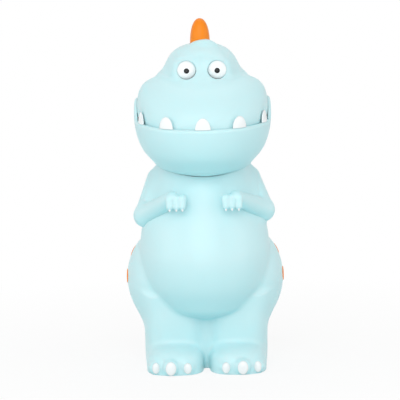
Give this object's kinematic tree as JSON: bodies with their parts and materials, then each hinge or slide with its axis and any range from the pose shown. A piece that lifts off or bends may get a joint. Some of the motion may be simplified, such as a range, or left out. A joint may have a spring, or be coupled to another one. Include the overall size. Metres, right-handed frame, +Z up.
{
  "type": "bubble machine",
  "caption": "Bubble machine in the form of a standing dinosaur, with a hinged head over a soap tray, a wand wheel and a blower.",
  "frame": {"origin": "on the floor, under the middle of the machine's bounding box", "axes": "+Z up through the horn, -Y towards the front where the dinosaur looks and the bubbles leave, +X to the right of someone who faces its front"},
  "size_m": [0.1056, 0.1238, 0.23],
  "materials": {
    "mint_plastic": "satin",
    "orange_plastic": "satin",
    "white_plastic": "gloss",
    "black_plastic": "gloss",
    "tray_plastic": "satin",
    "inner_plastic": "matte",
    "gear_plastic": "satin",
    "dark_plastic": "matte",
    "steel": "satin",
    "cell_wrap": "gloss",
    "board": "satin"
  },
  "bodies": {
    "root": {"lower_jaw": "mint_plastic", "body_front": "mint_plastic", "body_rear": "mint_plastic", "arm_left": "mint_plastic", "arm_right": "mint_plastic", "flank_spots_left": "orange_plastic", "flank_spots_right": "orange_plastic", "back_spikes": "orange_plastic", "tail_spikes": "orange_plastic", "jaw_teeth": "white_plastic", "toe_nails": "white_plastic", "finger_claws": "white_plastic", "solution_tray": "tray_plastic", "drive_frame": "inner_plastic", "gear_case": "inner_plastic", "blower_shell_left": "inner_plastic", "blower_shell_right": "inner_plastic", "battery_box": "inner_plastic", "base_plate": "inner_plastic", "neck_ring": "inner_plastic", "motor_endcap": "dark_plastic", "switch_block": "dark_plastic", "motor_can": "steel", "gear_spindles": "steel", "pivot_pins": "steel", "shell_screws": "steel", "frame_screws": "steel", "blower_screws": "steel", "battery_contacts": "steel", "battery_cells": "cell_wrap", "circuit_board": "board"},
    "upper_head": {"upper_head": "mint_plastic", "eye_left": "white_plastic", "eye_right": "white_plastic", "pupil_left": "black_plastic", "pupil_right": "black_plastic", "horn": "orange_plastic", "crest_spike": "orange_plastic"},
    "rotor": {"motor_shaft": "steel", "motor_pinion": "gear_plastic", "impeller": "gear_plastic"},
    "gear_1": {"gear_1": "gear_plastic"},
    "gear_2": {"gear_2": "gear_plastic"},
    "gear_3": {"gear_3": "gear_plastic"},
    "wand_wheel": {"wand_wheel": "tray_plastic", "wheel_axle": "steel", "wheel_gear": "gear_plastic"},
    "battery_door": {"battery_door": "inner_plastic", "door_screw": "steel", "contact_springs": "steel"},
    "power_button": {"power_button": "orange_plastic", "button_spring": "steel"}
  },
  "joints": [
    {"name": "head_lid", "type": "hinge", "parent": "root", "child": "upper_head", "pos_m": [0, -0.002, 0.166], "axis": [-1, 0, 0], "range_deg": [0, 38]},
    {"name": "motor_spin", "type": "hinge", "parent": "root", "child": "rotor", "pos_m": [0, 0.011, 0.163], "axis": [1, 0, 0], "continuous": true},
    {"name": "gear_1_spin", "type": "hinge", "parent": "root", "child": "gear_1", "pos_m": [0, 0.00102, 0.16177], "axis": [1, 0, 0], "continuous": true},
    {"name": "gear_2_spin", "type": "hinge", "parent": "root", "child": "gear_2", "pos_m": [0, -0.00897, 0.16055], "axis": [1, 0, 0], "continuous": true},
    {"name": "gear_3_spin", "type": "hinge", "parent": "root", "child": "gear_3", "pos_m": [0, -0.01895, 0.15932], "axis": [1, 0, 0], "continuous": true},
    {"name": "wheel_spin", "type": "hinge", "parent": "root", "child": "wand_wheel", "pos_m": [0, -0.02894, 0.1581], "axis": [1, 0, 0], "continuous": true},
    {"name": "door_slide", "type": "slide", "parent": "root", "child": "battery_door", "axis": [0, 0, -1], "range_m": [0, 0.02]},
    {"name": "button_press", "type": "slide", "parent": "root", "child": "power_button", "axis": [0, -1, 0], "range_m": [0, 0.002], "stiffness_N_per_m": 300}
  ],
  "couplings": [
    {"joint": "gear_1_spin", "follows": "motor_spin", "ratio": -0.33333},
    {"joint": "gear_2_spin", "follows": "motor_spin", "ratio": 0.11111},
    {"joint": "gear_3_spin", "follows": "motor_spin", "ratio": -0.037037},
    {"joint": "wheel_spin", "follows": "motor_spin", "ratio": 0.012346}
  ]
}
